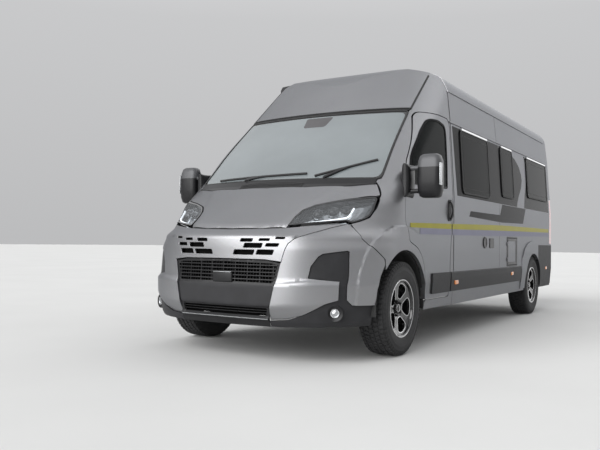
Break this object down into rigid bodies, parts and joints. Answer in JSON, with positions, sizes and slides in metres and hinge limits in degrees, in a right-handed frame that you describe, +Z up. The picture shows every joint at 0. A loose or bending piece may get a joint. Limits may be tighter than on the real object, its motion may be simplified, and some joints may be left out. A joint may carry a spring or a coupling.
{
  "type": "panel van motorhome",
  "caption": "Long high-roof panel-van motorhome with opening cab and rear doors, bonnet, service hatch, steered front wheels and a furnished living space.",
  "frame": {"origin": "on the ground under the middle of the vehicle's length and width", "axes": "+Z up, the nose faces -Y, the vehicle's left side is +X"},
  "size_m": [2.58, 5.9979, 2.5649],
  "materials": {
    "paint": "metallic silver grey lacquer",
    "glass": "lightly tinted laminated and toughened glass",
    "dark_glass": "dark tinted acrylic and toughened glass",
    "dark_plastic": "fine grained black plastic",
    "lamp": "clear lens over dark reflectors",
    "red_lamp": "clear gloss lens",
    "underbody": "black chassis paint",
    "alloy": "gloss black with machined edges",
    "tyre": "road tyre rubber",
    "upholstery": "woven grey upholstery",
    "cabinet": "light laminated board"
  },
  "bodies": {
    "chassis": {"front_body": "paint", "cowl": "dark_plastic", "windscreen": "glass", "roof_cap": "paint", "front_bumper": "paint", "grille_panel": "paint", "centre_grille": "dark_plastic", "bumper_trim": "dark_plastic", "front_lamps": "lamp", "side_panel_left": "paint", "side_panel_right": "paint", "sliding_door": "paint", "side_windows": "dark_glass", "side_mouldings": "dark_plastic", "roof_panel": "paint", "tail_lamps": "red_lamp", "rear_bumper": "dark_plastic", "floor_pan": "underbody", "engine": "underbody", "front_subframe": "underbody", "rear_axle": "underbody", "dashboard": "dark_plastic", "cab_seats": "upholstery", "living_units": "cabinet", "mattress": "upholstery", "tanks": "dark_plastic", "exhaust": "underbody", "awning_cassette": "dark_plastic", "rooflights": "dark_plastic", "wipers": "dark_plastic"},
    "bonnet": {"bonnet": "paint"},
    "door_left": {"cab_door_left": "paint", "cab_glass_left": "glass", "mirror_left": "dark_plastic"},
    "door_right": {"cab_door_right": "paint", "cab_glass_right": "glass", "mirror_right": "dark_plastic"},
    "back_door_left": {"rear_door_left": "paint", "rear_glass_left": "dark_glass"},
    "back_door_right": {"rear_door_right": "paint", "rear_glass_right": "dark_glass"},
    "service_hatch": {"service_door": "paint"},
    "hub_left": {"knuckle_left": "underbody"},
    "hub_right": {"knuckle_right": "underbody"},
    "steering": {"steering_wheel": "dark_plastic"},
    "wheel_front_left": {"tyre_front_left": "tyre", "rim_front_left": "alloy"},
    "wheel_front_right": {"tyre_front_right": "tyre", "rim_front_right": "alloy"},
    "wheel_rear_left": {"tyre_rear_left": "tyre", "rim_rear_left": "alloy"},
    "wheel_rear_right": {"tyre_rear_right": "tyre", "rim_rear_right": "alloy"}
  },
  "joints": [
    {"name": "cab_door_left_hinge", "type": "hinge", "parent": "chassis", "child": "door_left", "pos_m": [1.034, -2.042, 1], "axis": [0, 0, -1], "range_deg": [0, 65]},
    {"name": "cab_door_right_hinge", "type": "hinge", "parent": "chassis", "child": "door_right", "pos_m": [-1.034, -2.042, 1], "axis": [0, 0, 1], "range_deg": [0, 65]},
    {"name": "rear_door_left_hinge", "type": "hinge", "parent": "chassis", "child": "back_door_left", "pos_m": [0.909, 2.994, 1.4], "axis": [0, 0, -1], "range_deg": [0, 180]},
    {"name": "rear_door_right_hinge", "type": "hinge", "parent": "chassis", "child": "back_door_right", "pos_m": [-0.909, 2.994, 1.4], "axis": [0, 0, 1], "range_deg": [0, 180]},
    {"name": "bonnet_hinge", "type": "hinge", "parent": "chassis", "child": "bonnet", "pos_m": [0, -2.187, 1.352], "axis": [-1, 0, 0], "range_deg": [0, 50]},
    {"name": "service_door_hinge", "type": "hinge", "parent": "chassis", "child": "service_hatch", "pos_m": [1.028, 0.798, 0.78], "axis": [0, 0, -1], "range_deg": [0, 90]},
    {"name": "steer_left", "type": "hinge", "parent": "chassis", "child": "hub_left", "pos_m": [0.77, -2.051, 0.36], "axis": [-0.1736, 0, 0.9848], "range_deg": [-35, 35]},
    {"name": "steer_right", "type": "hinge", "parent": "chassis", "child": "hub_right", "pos_m": [-0.77, -2.051, 0.36], "axis": [0.1736, 0, 0.9848], "range_deg": [-35, 35]},
    {"name": "steering_wheel_turn", "type": "hinge", "parent": "chassis", "child": "steering", "pos_m": [0.42, -1.629, 1.165], "axis": [0, 0.5736, 0.8192], "range_deg": [-540, 540]},
    {"name": "spin_front_left", "type": "hinge", "parent": "hub_left", "child": "wheel_front_left", "pos_m": [0.905, -2.051, 0.36], "axis": [1, 0, 0], "continuous": true},
    {"name": "spin_front_right", "type": "hinge", "parent": "hub_right", "child": "wheel_front_right", "pos_m": [-0.905, -2.051, 0.36], "axis": [1, 0, 0], "continuous": true},
    {"name": "spin_rear_left", "type": "hinge", "parent": "chassis", "child": "wheel_rear_left", "pos_m": [0.905, 1.984, 0.36], "axis": [1, 0, 0], "continuous": true},
    {"name": "spin_rear_right", "type": "hinge", "parent": "chassis", "child": "wheel_rear_right", "pos_m": [-0.905, 1.984, 0.36], "axis": [1, 0, 0], "continuous": true}
  ],
  "couplings": [
    {"joint": "steer_right", "follows": "steer_left", "ratio": 1},
    {"joint": "steering_wheel_turn", "follows": "steer_left", "ratio": 15}
  ]
}
